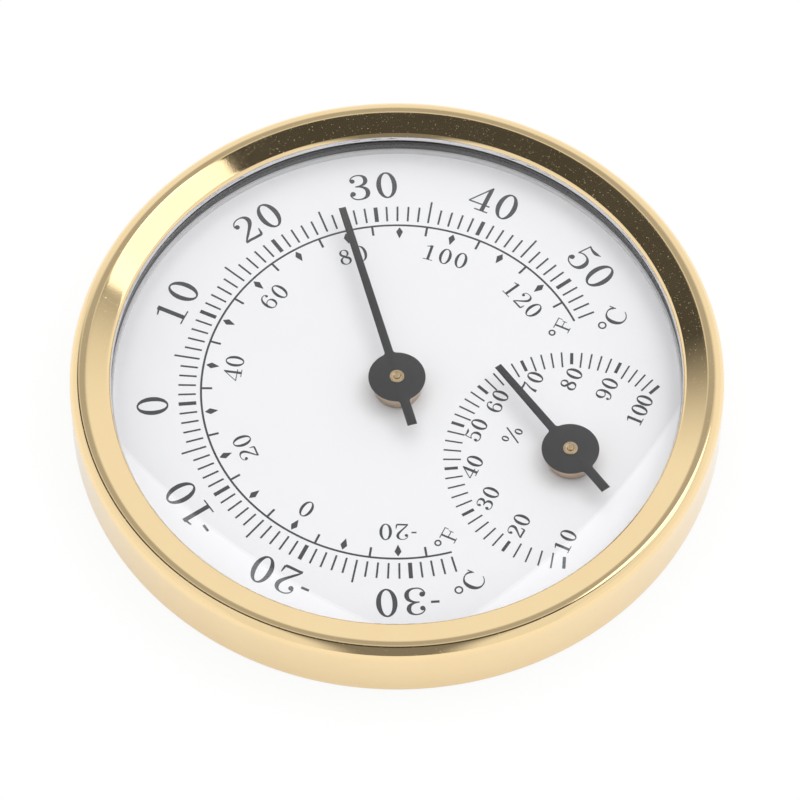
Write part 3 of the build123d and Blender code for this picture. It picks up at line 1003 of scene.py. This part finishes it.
def studio_world():
    """White room with a dark gap: the directions whose mirroring surface, halfway between them and the
    viewpoint, tilts as much as the bevel. It is white behind, and wherever the camera sees it directly."""
    world = bpy.data.worlds.new("studio")
    bpy.context.scene.world = world
    world.use_nodes = True
    tree = world.node_tree
    tree.nodes.clear()
    out = tree.nodes.new("ShaderNodeOutputWorld")
    coordinates = tree.nodes.new("ShaderNodeTexCoord")

    def vector(operation, constant, source=coordinates.outputs["Generated"]):
        node = tree.nodes.new("ShaderNodeVectorMath")
        node.operation = operation
        node.inputs[1].default_value = constant
        tree.links.new(source, node.inputs[0])
        return node.outputs["Value" if operation == "DOT_PRODUCT" else "Vector"]

    def dot(constant, source=coordinates.outputs["Generated"]):
        return vector("DOT_PRODUCT", constant, source)

    def ease(value, low, high, to_low, to_high):
        node = tree.nodes.new("ShaderNodeMapRange")
        node.interpolation_type = "SMOOTHSTEP"
        tree.links.new(value, node.inputs["Value"])
        for key, number in zip(RANGE_KEYS, (low, high, to_low, to_high)):
            node.inputs[key].default_value = number
        return node.outputs["Result"]

    def combine(operation, a, b):
        node = tree.nodes.new("ShaderNodeMath")
        node.operation = operation
        for socket, value in zip(node.inputs, (a, b)):
            if isinstance(value, (int, float)):
                socket.default_value = value
            else:
                tree.links.new(value, socket)
        return node.outputs["Value"]

    up = dot((0, 0, 1))
    across = combine("ABSOLUTE", dot(RIGHT), 0.0)
    leaning = combine("ADD", dot(AWAY), combine("MULTIPLY", dot(RIGHT), 0.25))
    behind = combine("MULTIPLY", ease(leaning, 0.25, 0.62, 0.0, 1.0), ease(up, 0.60, 0.90, 1.22, 0.42))
    sides = combine("MULTIPLY", ease(across, 0.58, 0.72, 0.0, 1.0), ease(up, 0.50, 0.66, 1.25, 0.0))
    viewpoint = world_direction(0, -math.cos(ELEVATION), math.sin(ELEVATION))
    halfway = vector("NORMALIZE", (0, 0, 0), vector("ADD", viewpoint))
    level = dot((0, 0, 1), halfway)
    core = RING_CORE * RING
    above = ease(level, math.cos(BEVEL - core), math.cos(BEVEL - RING), 0.0, 0.92)
    over_lens = ease(level, math.cos(LENS_EDGE + RING), math.cos(LENS_EDGE), 0.0, 0.32)
    above = combine("SUBTRACT", above, over_lens)
    front = ease(level, math.cos(BEVEL + RING), math.cos(BEVEL + core), 1.0, 0.0)
    front = combine("MULTIPLY", front, ease(across, 0.15, 0.40, 0.30, 1.15))
    back = combine("MAXIMUM", combine("MAXIMUM", behind, sides), combine("MAXIMUM", above, front))
    back = combine("MAXIMUM", back, ROOM_LEAST)
    room = tree.nodes.new("ShaderNodeBackground")
    tree.links.new(back, room.inputs["Strength"])
    seen = tree.nodes.new("ShaderNodeBackground")
    seen.inputs["Strength"].default_value = 1.0
    path = tree.nodes.new("ShaderNodeLightPath")
    mixed = tree.nodes.new("ShaderNodeMixShader")
    tree.links.new(path.outputs["Is Camera Ray"], mixed.inputs[0])
    tree.links.new(room.outputs[0], mixed.inputs[1])
    tree.links.new(seen.outputs[0], mixed.inputs[2])
    tree.links.new(mixed.outputs[0], out.inputs["Surface"])


def camera():
    """Long lens, so the case shows almost no convergence."""
    data = bpy.data.cameras.new("camera")
    data.sensor_width, data.lens = 36.0, 252.0
    data.dof.use_dof = False
    holder = bpy.data.objects.new("camera", data)
    bpy.context.scene.collection.objects.link(holder)
    back = world_direction(0, -math.cos(ELEVATION), math.sin(ELEVATION))
    up = world_direction(0, math.sin(ELEVATION), math.cos(ELEVATION))
    target = Vector((0, 0, TARGET_HEIGHT * MM)) + RIGHT * TARGET_RIGHT * MM - up * TARGET_DOWN * MM
    holder.location = target + back * CAMERA_DISTANCE
    holder.rotation_mode = "QUATERNION"
    holder.rotation_quaternion = back.to_track_quat("Z", "Y")
    data.clip_start, data.clip_end = 0.01, 10
    bpy.context.scene.camera = holder


floor()
studio_world()
key = softbox("right_box", world_direction(.503, .178, .845), 0.6, 0.21, 0.28, 1.5)
shine_on(key, lens, "EXCLUDE")
fill = softbox("ceiling_fill", world_direction(.1, .15, 1.0), 0.9, 1.2, 1.2, 1.5)
fill.visible_glossy = False
shine_on(fill, lens, "EXCLUDE")
lens_pane("left_pane", 228)
lens_pane("right_pane", 321)
camera()
bpy.context.scene.view_settings.view_transform = "Standard"
